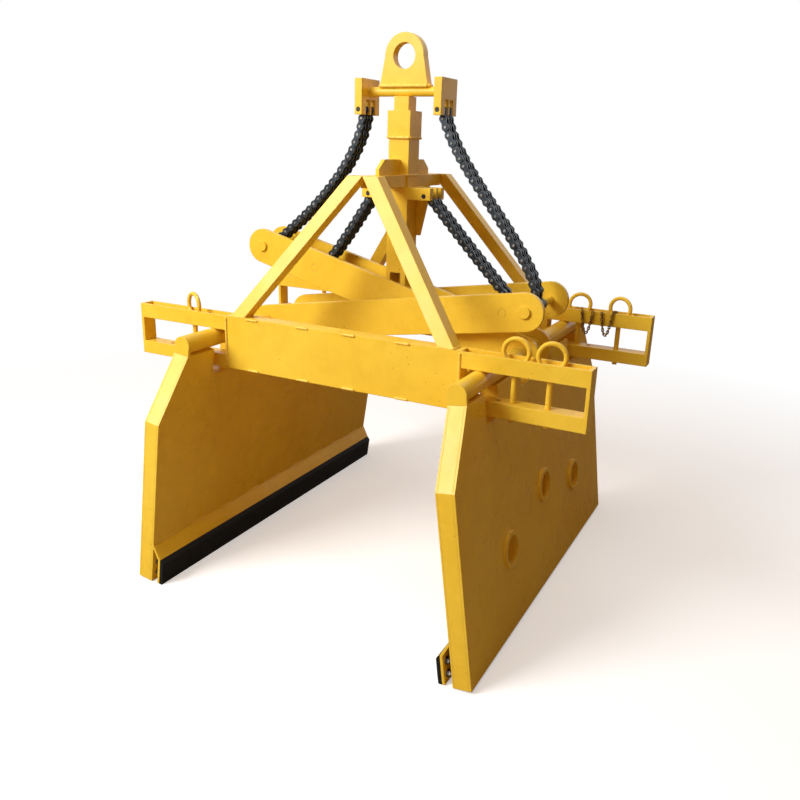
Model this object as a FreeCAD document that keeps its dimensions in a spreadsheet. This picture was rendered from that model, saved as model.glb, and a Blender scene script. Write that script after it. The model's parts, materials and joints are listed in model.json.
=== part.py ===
import FreeCAD, Part
import math
import os
import re
import Sketcher

Vector = FreeCAD.Vector
Rotation = FreeCAD.Rotation

# Brick clamp: a bridge frame on two jaws, closed by two crossed arms and four duplex chains.
# X runs along the two beams, Y along the jaws, Z is up, and the jaws stand on Z = 0.

# Driving sizes, in millimetres and degrees
SIZES = {
    "frame_length": 1500, "frame_width": 810, "beam_width": 50, "beam_top": 843,
    "beam_height": 166, "upper_rail": 46, "lower_rail": 41, "rail_wall": 6, "end_plate": 10,
    "box_length": 796, "box_wall": 8, "cross_reach": 300, "cross_width": 40, "cross_wall": 5,
    "mast_size": 70, "mast_wall": 9.4, "mast_top": 1455, "mast_bottom": 806,
    "guide_slot_bottom": 832, "guide_slot_top": 968, "guide_clearance": 4,
    "collar_wall": 4, "collar_bottom": 1382, "collar_height": 78,
    "ridge_width": 60, "ridge_height": 36, "ridge_top": 1272, "ridge_reach": 211,
    "gusset_thick": 12, "gusset_height": 46, "gusset_foot": 132, "gusset_brow": 96, "gusset_toe": 18,
    "leg_width": 50, "leg_depth": 44, "leg_wall": 6, "leg_foot_reach": 352,
    "block_length": 85, "block_depth": 100, "block_height": 36, "block_slot_length": 48,
    "stay_thick": 10, "stay_drop": 115, "stay_brow": 40, "stay_toe": 14, "stay_front": 29,
    "frame_pin_reach": 98, "frame_pin_height": 1212,
    "chain_pin_radius": 7, "pin_clearance": 0.3,
    "bar_size": 50, "bar_bottom": 990, "head_bar_radius": 14, "head_bar_height": 1515,
    "head_block_reach": 122, "head_block_thick": 25, "head_block_depth": 110,
    "head_block_bottom": 1447, "head_block_top": 1552, "head_pin_height": 1462,
    "chain_slot_depth": 44, "chain_slot_width": 25, "chain_row_offset": 17,
    "eye_height": 1615, "eye_radius": 65, "eye_hole_radius": 37, "eye_thick": 30,
    "eye_foot": 82, "jaw_reach": 450, "tube_radius": 28, "tube_wall": 6,
    "tube_reach": 545, "tube_cap": 10, "running_gap": 0.5, "jaw_splay": 8, "jaw_thick": 54, "skin": 6,
    "jaw_half_width": 658, "shoulder_drop": 222, "window_inner": 333, "window_outer": 427,
    "window_drop": 112, "arm_notch_reach": 146, "arm_notch_drop": 76, "edge_width": 46,
    "shoulder_edge_drop": 28, "hole_radius": 43, "hole_wall": 12, "hole_proud": 9,
    "hole_reach": 320, "hole_drop": 521, "middle_hole_drop": 441,
    "pad_standoff": 30, "pad_sheet": 8, "pad_top": 135, "pad_knee": 92, "pad_floor": 4,
    "pad_bend": 3.2, "pad_lip": 12,
    "rubber_thick": 12, "pad_bolt_radius": 7, "pad_bolt_low": 28, "pad_bolt_high": 66,
    "pad_bolt_pitch": 250, "arm_depth": 114, "arm_plate": 15, "arm_a_half": 61,
    "arm_b_half": 122, "arm_a_end_reach": 503, "arm_a_end_height": 1017,
    "arm_b_end_reach": 473, "arm_b_end_height": 910, "arm_pin_radius": 12,
    "arm_boss_radius": 18, "arm_boss_thick": 7, "shaft_radius": 16, "centre_height": 861.6,
    "centre_clearance": 4, "shaft_inset": 1.5, "hub_radius": 33, "hub_thick": 10, "arm_a_chain_reach": 290,
    "arm_b_chain_reach": 405, "cross_plate_start": 840, "cross_plate_length": 90,
    "cross_plate_thick": 10, "cross_plate_rise": 14,
    "stop_pin_radius": 8, "stop_pin_near": 502, "stop_pin_inner": 543, "stop_pin_outer": 639,
    "stop_pin_tail": 12,
    "stop_pin_neck": 22, "ring_radius": 35, "ring_wire": 6, "washer_radius": 15,
    "washer_thick": 4, "chain_pitch": 25.4, "link_depth": 24, "inner_link": 9,
    "link_point": 10.2, "outer_link": 5, "upper_end_gap": 26, "lower_end_gap": 48, "rivet_radius": 5,
}

# Sizes that follow from the driving ones
DERIVED = {
    "beam_bottom": "beam_top - beam_height",
    "beam_middle": "(frame_width - beam_width) / 2",
    "beam_inner": "frame_width / 2 - beam_width",
    "slot_top": "beam_top - upper_rail",
    "pivot_height": "slot_top - tube_radius - running_gap",
    "jaw_drop": "(pivot_height - jaw_thick / 2 * sin(jaw_splay * 1 deg)) / cos(jaw_splay * 1 deg)",
    "panel_top": "tube_radius + running_gap",
    "head_block_middle": "head_block_reach + head_block_thick / 2",
    "arm_a_length": "sqrt((jaw_reach + arm_a_end_reach) ^ 2 + (arm_a_end_height - pivot_height) ^ 2)",
    "arm_b_length": "sqrt((jaw_reach + arm_b_end_reach) ^ 2 + (arm_b_end_height - pivot_height) ^ 2)",
    "arm_a_slope": "asin((arm_a_end_height - pivot_height) / arm_a_length) / 1 deg",
    "arm_b_slope": "asin((arm_b_end_height - pivot_height) / arm_b_length) / 1 deg",
    "centre_span": "sqrt(jaw_reach ^ 2 + (centre_height - pivot_height) ^ 2)",
    "centre_angle": "asin((centre_height - pivot_height) / centre_span) / 1 deg",
    "shaft_half": "arm_b_half - arm_plate / 2 - shaft_inset",
    "web_top": "slot_top + rail_wall",
    "ring_flat": "ring_wire * tan(22.5 deg)",
    "block_bottom": "ridge_top - ridge_height - block_height",
    "block_end": "mast_size / 2 + block_length",
}

doc = FreeCAD.newDocument("BrickClamp")
sheet = doc.addObject("Spreadsheet::Sheet", "Sizes")
for row, (word, value) in enumerate(SIZES.items(), start=1):
    sheet.set(f"A{row}", word)
    sheet.set(f"B{row}", str(value))
    sheet.setAlias(f"B{row}", word)
for row, (word, formula) in enumerate(DERIVED.items(), start=1):
    sheet.set(f"D{row}", word)
    sheet.set(f"E{row}", "=" + formula)
    sheet.setAlias(f"E{row}", word)
doc.recompute()
WORDS = set(SIZES) | set(DERIVED)


def linked(expression):
    """Point the sheet's words in an expression at the sheet."""
    return re.sub(r"[a-z][a-z_]+", lambda m: "Sizes." + m[0] if m[0] in WORDS else m[0], expression)


def bind(thing, **sizes):
    """Bind properties of an object to expressions in the sheet's words."""
    for name, expression in sizes.items():
        thing.setExpression(name, linked(str(expression)))
    return thing


def place(thing, x="0", y="0", z="0", axis=None, turn=None):
    """Bind an object's place, and its turn in degrees about an axis."""
    if axis is not None:
        thing.Placement = FreeCAD.Placement(Vector(), Rotation(Vector(*axis), 10))
        thing.setExpression("Placement.Rotation.Angle", linked(f"({turn}) * 1 deg"))
    for side, expression in (("x", x), ("y", y), ("z", z)):
        thing.setExpression("Placement.Base." + side, linked(str(expression)))
    return thing


def box(name, length, width, height, x, y, z):
    """A box given by its sizes and the middle of its foot."""
    thing = bind(doc.addObject("Part::Box", name), Length=length, Width=width, Height=height)
    return place(thing, f"{x} - ({length}) / 2", f"{y} - ({width}) / 2", z)


def rod(name, radius, length, x, y, z, along="z"):
    """A cylinder from a point along one axis."""
    thing = bind(doc.addObject("Part::Cylinder", name), Radius=radius, Height=length)
    turns = {"z": (None, None), "y": ((1, 0, 0), "-90"), "x": ((0, 1, 0), "90")}
    axis, turn = turns[along]
    return place(thing, x, y, z, axis, turn)


def cut(name, base, tool):
    thing = doc.addObject("Part::Cut", name)
    thing.Base, thing.Tool = base, tool
    return thing


def fuse(name, *pieces):
    thing = doc.addObject("Part::MultiFuse", name)
    thing.Shapes = list(pieces)
    return thing


def group(name, *pieces):
    thing = doc.addObject("Part::Compound", name)
    thing.Links = list(pieces)
    return thing


def mirrored(name, source, across):
    """The same piece on the other side of a plane through the middle."""
    thing = doc.addObject("Part::Mirroring", name)
    thing.Source = source
    thing.Normal = {"x": Vector(1, 0, 0), "y": Vector(0, 1, 0)}[across]
    return thing


# Sketches whose points are held by bound distances from the origin
def pin_point(sketch, edge, end, x, y):
    for kind, expression in (("DistanceX", x), ("DistanceY", y)):
        if expression is None:
            continue
        spot = sketch.getPoint(edge, end)
        now = spot.x if kind == "DistanceX" else spot.y
        index = sketch.addConstraint(Sketcher.Constraint(kind, -1, 1, edge, end, now))
        sketch.setExpression(f"Constraints[{index}]", linked(f"({expression}) * 1 mm"))


def number(expression):
    """The present value of an expression in the sheet's words."""
    words = {word: float(sheet.get(word)) for word in WORDS if re.search(rf"\b{word}\b", expression)}
    text = re.sub(r"[a-z][a-z_]+", lambda m: str(words.get(m[0], m[0])), expression)
    total = sheet.evalExpression(text) if hasattr(sheet, "evalExpression") else None
    return float(getattr(total, "Value", total))


def polygon(sketch, points):
    """A closed outline of straight edges."""
    spots = [Vector(number(x), number(y), 0) for x, y in points]
    first = sketch.GeometryCount
    count = len(spots)
    for k in range(count):
        sketch.addGeometry(Part.LineSegment(spots[k], spots[(k + 1) % count]), False)
    for k in range(count):
        sketch.addConstraint(Sketcher.Constraint("Coincident", first + k, 2, first + (k + 1) % count, 1))
    for k, (x, y) in enumerate(points):
        pin_point(sketch, first + k, 1, x, y)


def circle(sketch, x, y, radius):
    spot = Vector(number(x), number(y), 0)
    edge = sketch.addGeometry(Part.Circle(spot, Vector(0, 0, 1), number(radius)), False)
    index = sketch.addConstraint(Sketcher.Constraint("Radius", edge, number(radius)))
    sketch.setExpression(f"Constraints[{index}]", linked(f"({radius}) * 1 mm"))
    pin_point(sketch, edge, 3, x, y)


def stadium(sketch, length, radius):
    """A bar with round ends, from the origin along the sketch's X."""
    far, r = number(length), number(radius)
    up = Vector(0, 0, 1)
    sketch.addGeometry(Part.ArcOfCircle(Part.Circle(Vector(), up, r), math.pi / 2, math.pi * 1.5), False)
    sketch.addGeometry(Part.LineSegment(Vector(0, -r, 0), Vector(far, -r, 0)), False)
    sketch.addGeometry(
        Part.ArcOfCircle(Part.Circle(Vector(far, 0, 0), up, r), -math.pi / 2, math.pi / 2), False)
    sketch.addGeometry(Part.LineSegment(Vector(far, r, 0), Vector(0, r, 0)), False)
    for one, end, other, start in ((0, 2, 1, 1), (1, 2, 2, 1), (2, 2, 3, 1), (3, 2, 0, 1)):
        sketch.addConstraint(Sketcher.Constraint("Tangent", one, end, other, start))
    index = sketch.addConstraint(Sketcher.Constraint("Radius", 0, r))
    sketch.setExpression(f"Constraints[{index}]", linked(f"({radius}) * 1 mm"))
    sketch.addConstraint(Sketcher.Constraint("Coincident", 0, 3, -1, 1))
    pin_point(sketch, 2, 3, length, "0")


def arch(sketch, foot, foot_height, radius, middle):
    """An upright plate with a half round top."""
    wide, low, r, mid = number(foot), number(foot_height), number(radius), number(middle)
    sketch.addGeometry(Part.LineSegment(Vector(-wide, low, 0), Vector(wide, low, 0)), False)
    sketch.addGeometry(Part.LineSegment(Vector(wide, low, 0), Vector(r, mid, 0)), False)
    ring = Part.Circle(Vector(0, mid, 0), Vector(0, 0, 1), r)
    sketch.addGeometry(Part.ArcOfCircle(ring, 0, math.pi), False)
    sketch.addGeometry(Part.LineSegment(Vector(-r, mid, 0), Vector(-wide, low, 0)), False)
    for one, end, other, start in ((0, 2, 1, 1), (1, 2, 2, 1), (2, 2, 3, 1), (3, 2, 0, 1)):
        sketch.addConstraint(Sketcher.Constraint("Coincident", one, end, other, start))
    pin_point(sketch, 0, 1, f"-({foot})", foot_height)
    pin_point(sketch, 0, 2, foot, foot_height)
    pin_point(sketch, 1, 2, radius, middle)
    pin_point(sketch, 2, 2, f"-({radius})", middle)
    pin_point(sketch, 2, 3, None, middle)


def plate(name, plane, thick, *outlines):
    """A body with one sketch, padded evenly to both sides of its plane."""
    body = doc.addObject("PartDesign::Body", name)
    sketch = body.newObject("Sketcher::SketchObject", name + "_outline")
    origin = next(f for f in body.Origin.OriginFeatures if f.Role == plane + "_Plane")
    sketch.AttachmentSupport = (origin, [""])
    sketch.MapMode = "FlatFace"
    for draw, *numbers in outlines:
        draw(sketch, *numbers)
    pad = body.newObject("PartDesign::Pad", name + "_pad")
    pad.Profile = sketch
    pad.Midplane = True
    bind(pad, Length=thick)
    return body


def square_tube(name, size, wall, bottom, top):
    """An upright square tube round the Z axis."""
    half, inner = f"({size}) / 2", f"(({size}) / 2 - ({wall}))"
    outer_corners = [(f"-{half}", f"-{half}"), (half, f"-{half}"), (half, half), (f"-{half}", half)]
    inner_corners = [(f"-{inner}", f"-{inner}"), (inner, f"-{inner}"), (inner, inner), (f"-{inner}", inner)]
    body = plate(name, "XY", f"({top}) - ({bottom})", (polygon, outer_corners), (polygon, inner_corners))
    return place(body, z=f"(({top}) + ({bottom})) / 2")


nodes = {}


def keep(thing, name=None):
    """List a finished sub-part under the name of its file."""
    name = name or thing.Name
    thing.Label = name
    nodes[name] = thing
    return thing


# Mast: a square tube with a guide slot for the centre shaft, and its collar
mast = square_tube("mast_body", "mast_size", "mast_wall", "mast_bottom", "mast_top")
guide = box("guide_slot", "2 * (shaft_radius + guide_clearance)", "2 * mast_size",
            "guide_slot_top - guide_slot_bottom", "0", "0", "guide_slot_bottom")
keep(cut("mast_tube", mast, guide))
keep(square_tube("mast_collar", "mast_size + 2 * collar_wall", "collar_wall",
                 "collar_bottom", "collar_bottom + collar_height"))

# Ridge: one beam on each side of the mast, with an upright gusset on each
ridge = box("ridge_rear", "ridge_width", "ridge_reach - mast_size / 2", "ridge_height", "0",
            "(ridge_reach + mast_size / 2) / 2", "ridge_top - ridge_height")
keep(group("ridge_beams", ridge, mirrored("ridge_front", ridge, "y")))
gusset = plate("gusset_rear", "YZ", "gusset_thick", (polygon, [
    ("mast_size / 2", "ridge_top"), ("mast_size / 2 + gusset_foot", "ridge_top"),
    ("mast_size / 2 + gusset_foot", "ridge_top + gusset_toe"),
    ("mast_size / 2 + gusset_brow", "ridge_top + gusset_height"),
    ("mast_size / 2", "ridge_top + gusset_height")]))
keep(group("ridge_gussets", gusset, mirrored("gusset_front", gusset, "y")))

# Frame chain blocks: each a block under the ridge, slotted for a chain, with a stay on the mast's side
block = box("block_body", "block_length", "block_depth", "block_height",
            "(mast_size + block_length) / 2", "0", "block_bottom")
block_slots = [box("block_slot_" + spot, "block_slot_length", "chain_slot_width", "block_height",
                   "block_end - block_slot_length / 2", sign + "chain_row_offset", "block_bottom")
               for spot, sign in (("front", "-"), ("rear", ""))]
block_bore = rod("block_bore", "chain_pin_radius + pin_clearance", "block_depth", "frame_pin_reach",
                 "-block_depth / 2", "frame_pin_height", "y")
slotted = cut("block_slotted", block, fuse("block_cuts", *block_slots, block_bore))
stay = plate("stay", "XZ", "stay_thick", (polygon, [
    ("mast_size / 2", "block_bottom - stay_drop"), ("mast_size / 2 + stay_toe", "block_bottom - stay_drop"),
    ("mast_size / 2 + stay_brow", "block_bottom"), ("mast_size / 2", "block_bottom")]))
place(stay, y="stay_front + stay_thick / 2")
block_right = fuse("chain_block_right", slotted, stay)
keep(group("frame_chain_blocks", block_right, mirrored("chain_block_left", block_right, "x")))
frame_pin = rod("frame_pin_right", "chain_pin_radius", "block_depth", "frame_pin_reach",
                "-block_depth / 2", "frame_pin_height", "y")
keep(group("frame_chain_pins", frame_pin, mirrored("frame_pin_left", frame_pin, "x")))

# Legs: sloping square tubes from the beams to the ends of the ridge
leg_ring = doc.addObject("Sketcher::SketchObject", "leg_section")
for inset in ("0", "leg_wall"):
    wide, deep = f"(leg_width / 2 - {inset})", f"(leg_depth / 2 - {inset})"
    polygon(leg_ring, [(f"-{wide}", f"-{deep}"), (wide, f"-{deep}"), (wide, deep), (f"-{wide}", deep)])
place(leg_ring, "leg_foot_reach", "beam_middle", "beam_top")
leg = doc.addObject("Part::Extrusion", "leg_rear_right")
leg.Base = leg_ring
leg.DirMode = "Custom"
leg.Solid = True
run_x, run_y = "(leg_width / 2 - leg_foot_reach)", "(ridge_reach + leg_depth / 2 - beam_middle)"
run_z = "(ridge_top - beam_top)"
for side, run in (("x", run_x), ("y", run_y), ("z", run_z)):
    leg.setExpression("Dir." + side, linked(run))
bind(leg, LengthFwd=f"sqrt({run_x} ^ 2 + {run_y} ^ 2 + {run_z} ^ 2) * 1 mm")
keep(leg)
keep(mirrored("leg_rear_left", leg, "x"))
leg_front = keep(mirrored("leg_front_right", leg, "y"))
keep(mirrored("leg_front_left", leg_front, "x"))

# Beams: a closed box in the middle, and a rail frame at each end
hollow = "2 * box_wall"
beam_skin = box("beam_skin", "box_length", "beam_width", "beam_height", "0", "beam_middle", "beam_bottom")
beam_core = box("beam_core", f"box_length - {hollow}", f"beam_width - {hollow}", f"beam_height - {hollow}",
                "0", "beam_middle", "beam_bottom + box_wall")
beam_rear = keep(cut("beam_box_rear", beam_skin, beam_core))
keep(mirrored("beam_box_front", beam_rear, "y"))

rail_run = "((frame_length - box_length) / 2 - end_plate)"
rail_middle = f"(box_length / 2 + {rail_run} / 2)"
channel = cut("channel", box("channel_skin", rail_run, "beam_width", "upper_rail", rail_middle,
                             "beam_middle", "slot_top"),
              box("channel_gap", rail_run, "beam_width - 2 * rail_wall", "upper_rail", rail_middle,
                  "beam_middle", "web_top"))
lower = box("lower_bar", rail_run, "beam_width", "lower_rail", rail_middle, "beam_middle", "beam_bottom")
end = box("rail_end", "end_plate", "beam_width", "beam_height", "(frame_length - end_plate) / 2",
          "beam_middle", "beam_bottom")
bores = [rod("stop_bore_" + spot, "stop_pin_radius + pin_clearance", "beam_height",
             "stop_pin_" + spot, "beam_middle", "beam_bottom") for spot in ("near", "inner", "outer")]
rail = keep(cut("rail_rear_right", fuse("rail_weldment", channel, lower, end), fuse("stop_bores", *bores)))
keep(mirrored("rail_rear_left", rail, "x"))
rail_front = keep(mirrored("rail_front_right", rail, "y"))
keep(mirrored("rail_front_left", rail_front, "x"))

# Cross members: two square tubes that tie the beams under the arms
cross_skin = box("cross_skin", "cross_width", "2 * beam_inner", "cross_width", "cross_reach", "0",
                 "beam_bottom")
cross_core = box("cross_core", "cross_width - 2 * cross_wall", "2 * beam_inner",
                 "cross_width - 2 * cross_wall", "cross_reach", "0", "beam_bottom + cross_wall")
cross = cut("cross_right", cross_skin, cross_core)
keep(group("cross_members", cross, mirrored("cross_left", cross, "x")))

# Lifting head: sliding bar, round spreader bar, chain blocks with their pins, and the eye
keep(box("inner_bar", "bar_size", "bar_size", "head_bar_height - head_bar_radius - bar_bottom",
         "0", "0", "bar_bottom"))
keep(rod("spreader_bar", "head_bar_radius", "2 * head_block_reach", "-head_block_reach", "0",
         "head_bar_height", "x"))
keep(plate("lifting_eye", "XZ", "eye_thick",
           (arch, "eye_foot", "head_bar_height + head_bar_radius", "eye_radius", "eye_height"),
           (circle, "0", "eye_height", "eye_hole_radius")))
head_block = box("head_block", "head_block_thick", "head_block_depth", "head_block_top - head_block_bottom",
                 "head_block_middle", "0", "head_block_bottom")
slots = [box("chain_slot_" + spot, "2 * head_block_thick", "chain_slot_width", "chain_slot_depth",
             "head_block_middle", sign + "chain_row_offset", "head_block_bottom")
         for spot, sign in (("front", "-"), ("rear", ""))]
pin_bore = rod("head_pin_bore", "chain_pin_radius + pin_clearance", "2 * head_block_depth",
               "head_block_middle", "-head_block_depth", "head_pin_height", "y")
head_block = cut("head_block_right", head_block, fuse("head_block_cuts", *slots, pin_bore))
keep(group("head_chain_blocks", head_block, mirrored("head_block_left", head_block, "x")))
head_pin = rod("head_pin_right", "chain_pin_radius", "head_block_depth", "head_block_middle",
               "-head_block_depth / 2", "head_pin_height", "y")
keep(group("head_chain_pins", head_pin, mirrored("head_pin_left", head_pin, "x")))

# Jaws: drawn upright round the tube's axis, then swung outwards by the splay
def swung(thing, y="0", out="0", down="0"):
    """Place a jaw piece: out is away from the middle, down is along the panel."""
    lean = "jaw_splay * 1 deg"
    return place(thing, f"jaw_reach + ({out}) * cos({lean}) + ({down}) * sin({lean})", y,
                 f"pivot_height + ({out}) * sin({lean}) - ({down}) * cos({lean})",
                 (0, -1, 0), "jaw_splay")


def panel_outline():
    """The panel's outline: windows for the rails, a notch for the arms, sloping shoulders."""
    half = [("arm_notch_reach", "-arm_notch_drop"), ("arm_notch_reach", "-panel_top"),
            ("window_inner", "-panel_top"), ("window_inner", "-window_drop"),
            ("window_outer", "-window_drop"), ("window_outer", "-panel_top"),
            ("tube_reach", "-panel_top"), ("jaw_half_width", "-shoulder_drop"),
            ("jaw_half_width", "-jaw_drop")]
    return half + [(f"-({y})", z) for y, z in reversed(half)]


def panel_void():
    """The space inside the panel's edge frame."""
    half = [("window_inner", "-window_drop - edge_width"), ("window_outer", "-window_drop - edge_width"),
            ("jaw_half_width - edge_width", "-shoulder_drop - shoulder_edge_drop"),
            ("jaw_half_width - edge_width", "edge_width - jaw_drop")]
    return half + [(f"-({y})", z) for y, z in reversed(half)]


HOLES = {"front": ("-hole_reach", "-hole_drop"), "middle": ("0", "-middle_hole_drop"),
         "rear": ("hole_reach", "-hole_drop")}
edge = swung(plate("edge_frame_right", "YZ", "jaw_thick - 2 * skin",
                   (polygon, panel_outline()), (polygon, panel_void())))
outer = plate("outer_sheet", "YZ", "skin", (polygon, panel_outline()),
              *[(circle, y, z, "hole_radius") for y, z in HOLES.values()])
swung(outer, out="(jaw_thick - skin) / 2")
rings = []
for spot, (y, z) in HOLES.items():
    ring = plate("hole_ring_" + spot, "YZ", "hole_proud",
                 (circle, y, z, "hole_radius + hole_wall"), (circle, y, z, "hole_radius"))
    rings.append(swung(ring, out="(jaw_thick + hole_proud) / 2"))
inner = swung(plate("inner_skin_right", "YZ", "skin", (polygon, panel_outline())),
              out="(skin - jaw_thick) / 2")
tube_skin = rod("tube_skin", "tube_radius", "2 * tube_reach", "jaw_reach", "-tube_reach", "pivot_height", "y")
tube_bore = rod("tube_bore", "tube_radius - tube_wall", "2 * (tube_reach - tube_cap)", "jaw_reach",
                "tube_cap - tube_reach", "pivot_height", "y")
tube_foot = bind(doc.addObject("Part::Box", "tube_foot_rear"), Length="jaw_thick", Width="tube_cap",
                 Height="panel_top")
swung(tube_foot, "tube_reach - tube_cap", "-jaw_thick / 2", "panel_top")

face, knee, foot = "-jaw_thick / 2", "pad_knee - jaw_drop", "pad_floor - jaw_drop"
stand, back = f"({face} - pad_standoff)", f"({face} - pad_standoff + pad_sheet)"
carrier = swung(plate("pad_carrier_right", "XZ", "2 * jaw_half_width", (polygon, [
    (face, "pad_top - jaw_drop"), (stand, knee), (stand, foot), (back, foot),
    (back, f"{knee} - pad_bend"), (face, "pad_top - jaw_drop - pad_lip")])))
rubber = swung(plate("pad_rubber_right", "XZ", "2 * jaw_half_width", (polygon, [
    (stand, knee), (f"{stand} - rubber_thick", f"{knee} - rubber_thick"),
    (f"{stand} - rubber_thick", foot), (stand, foot)])))
bolts = []
for k in (-2, -1, 0, 1, 2):
    for level in ("low", "high"):
        bolt = bind(doc.addObject("Part::Cylinder", f"pad_bolt_{level}"), Radius="pad_bolt_radius",
                    Height="pad_standoff - pad_sheet")
        lean = "jaw_splay * 1 deg"
        down = f"(jaw_drop - pad_bolt_{level})"
        place(bolt, f"jaw_reach + ({back}) * cos({lean}) + {down} * sin({lean})", f"{k} * pad_bolt_pitch",
              f"pivot_height + ({back}) * sin({lean}) - {down} * cos({lean})", (0, 1, 0), "90 - jaw_splay")
        bolts.append(bolt)
jaw_tube = fuse("jaw_tube_right", cut("tube_hollow", tube_skin, tube_bore), tube_foot,
                mirrored("tube_foot_front", tube_foot, "y"))
right_jaw = {"jaw_tube": jaw_tube, "edge_frame": edge,
             "outer_skin": fuse("outer_skin_right", outer, *rings), "inner_skin": inner,
             "pad_carrier": carrier, "pad_rubber": rubber, "pad_bolts": group("pad_bolts_right", *bolts)}
for word, piece in right_jaw.items():
    keep(piece, word + "_right")
    keep(mirrored(word + "_left", piece, "x"))


# Arms: two plates each, drawn along X from the jaw tube and turned to their slope
def arm_plate(name, arm, centre_hole=None):
    """One arm plate with its bores for the jaw tube, the pins and the shaft, in the arm's own line."""
    chain_span = f"((jaw_reach + arm_{arm}_chain_reach) / cos(arm_{arm}_slope * 1 deg))"
    shift = f"centre_span * sin((centre_angle - arm_{arm}_slope) * 1 deg)"
    along = f"centre_span * cos((centre_angle - arm_{arm}_slope) * 1 deg)"
    body = plate(name, "XZ", "arm_plate", (stadium, f"arm_{arm}_length", "arm_depth / 2"),
                 (circle, "0", "0", "tube_radius + pin_clearance"),
                 (circle, f"arm_{arm}_length", "0", "arm_pin_radius + pin_clearance"),
                 (circle, chain_span, "0", "arm_pin_radius + pin_clearance"),
                 *([(circle, along, shift, centre_hole)] if centre_hole else []))
    return place(body, "-jaw_reach", f"arm_{arm}_half", "pivot_height", (0, -1, 0), f"arm_{arm}_slope")


a_rear = mirrored("arm_a_plate_rear", arm_plate("arm_a_blank", "a", "shaft_radius + pin_clearance"), "x")
keep(a_rear)
keep(mirrored("arm_a_plate_front", a_rear, "y"))
hub_bore = "shaft_radius + centre_clearance"
hub = rod("hub_rear", "hub_radius", "hub_thick", "0", "arm_b_half - arm_plate / 2 - hub_thick",
          "centre_height", "y")
hub_hole = rod("hub_hole", hub_bore, "hub_thick", "0", "arm_b_half - arm_plate / 2 - hub_thick",
               "centre_height", "y")
b_rear = keep(fuse("arm_b_plate_rear", arm_plate("arm_b_blank", "b"),
                   cut("hub_ring", hub, hub_hole)))
keep(mirrored("arm_b_plate_front", b_rear, "y"))
keep(rod("centre_shaft", "shaft_radius", "2 * shaft_half", "0", "-shaft_half", "centre_height", "y"))


def arm_pins(arm, sign):
    """The end pin and the chain pin of an arm, with a boss outside each plate."""
    outside = f"(arm_{arm}_half + arm_plate / 2)"
    chain_height = f"pivot_height + (jaw_reach + arm_{arm}_chain_reach) * tan(arm_{arm}_slope * 1 deg)"
    spots = {"end": (f"{sign}arm_{arm}_end_reach", f"arm_{arm}_end_height"),
             "chain": (f"{sign}arm_{arm}_chain_reach", chain_height)}
    pins = []
    for spot, (x, z) in spots.items():
        name = f"arm_{arm}_{spot}"
        pin = rod(name + "_pin", "arm_pin_radius", f"2 * {outside}", x, f"-{outside}", z, "y")
        cap = rod(name + "_cap", "arm_boss_radius", "arm_boss_thick", x, outside, z, "y")
        pins.append(fuse(name, pin, cap, mirrored(name + "_cap_front", cap, "y")) if spot == "end" else pin)
    return keep(group(f"arm_{arm}_pins", *pins))


arm_pins("a", "-")
arm_pins("b", "")
cross_plate = box("cross_plate", "cross_plate_length", "2 * arm_a_half - arm_plate", "cross_plate_thick",
                  "cross_plate_start + cross_plate_length / 2", "0", "cross_plate_rise")
turner = doc.addObject("Part::Compound", "cross_plate_turned")
turner.Links = [cross_plate]
place(turner, "-jaw_reach", "0", "pivot_height", (0, -1, 0), "arm_a_slope")
keep(mirrored("arm_a_cross_plate", turner, "x"))


# Stop pins: a shank through both rails, a washer on the web and a ring to pull it by
def pull_ring(name):
    """An upright ring with an eight-sided section."""
    body = doc.addObject("PartDesign::Body", name)
    sketch = body.newObject("Sketcher::SketchObject", name + "_section")
    origin = next(f for f in body.Origin.OriginFeatures if f.Role == "XY_Plane")
    sketch.AttachmentSupport = (origin, [""])
    sketch.MapMode = "FlatFace"
    corners = [("ring_wire", "ring_flat"), ("ring_flat", "ring_wire"), ("-ring_flat", "ring_wire"),
               ("-ring_wire", "ring_flat"), ("-ring_wire", "-ring_flat"), ("-ring_flat", "-ring_wire"),
               ("ring_flat", "-ring_wire"), ("ring_wire", "-ring_flat")]
    polygon(sketch, [("ring_radius + " + x, y) for x, y in corners])
    turned = body.newObject("PartDesign::Revolution", name + "_turned")
    turned.Profile = sketch
    turned.ReferenceAxis = (sketch, ["V_Axis"])
    turned.Angle = 360
    return body


def stop_pin(name, x, y, turn):
    shank_bottom = "beam_bottom - stop_pin_tail"
    shank = rod(name + "_shank", "stop_pin_radius", f"web_top + stop_pin_neck - ({shank_bottom})", x, y,
                shank_bottom)
    washer = rod(name + "_washer", "washer_radius", "washer_thick", x, y, "web_top + pin_clearance")
    ring = pull_ring(name + "_ring")
    ring.Placement = FreeCAD.Placement(Vector(), Rotation(Vector(0, 0, 1), turn))
    for side, spot in (("x", x), ("y", y), ("z", "web_top + stop_pin_neck + ring_radius - ring_wire / 2")):
        ring.setExpression("Placement.Base." + side, linked(spot))
    keep(fuse(name, shank, washer, ring))


STOP_PINS = {
    "stop_pin_front_inner": ("stop_pin_inner", "-beam_middle", 0),
    "stop_pin_front_outer": ("stop_pin_outer", "-beam_middle", 12),
    "stop_pin_rear_inner": ("stop_pin_near", "beam_middle", 20),
    "stop_pin_rear_outer": ("stop_pin_outer", "beam_middle", -10),
    "stop_pin_front_left": ("-stop_pin_inner", "-beam_middle", -22),
    "stop_pin_rear_left": ("-stop_pin_inner", "beam_middle", 20),
}
for name, (x, y, turn) in STOP_PINS.items():
    stop_pin(name, x, y, turn)

doc.recompute()


# Duplex chains: each hangs along a smooth curve, in rigid spans hinged at a chain pin
def size(word):
    return float(sheet.get(word))


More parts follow.
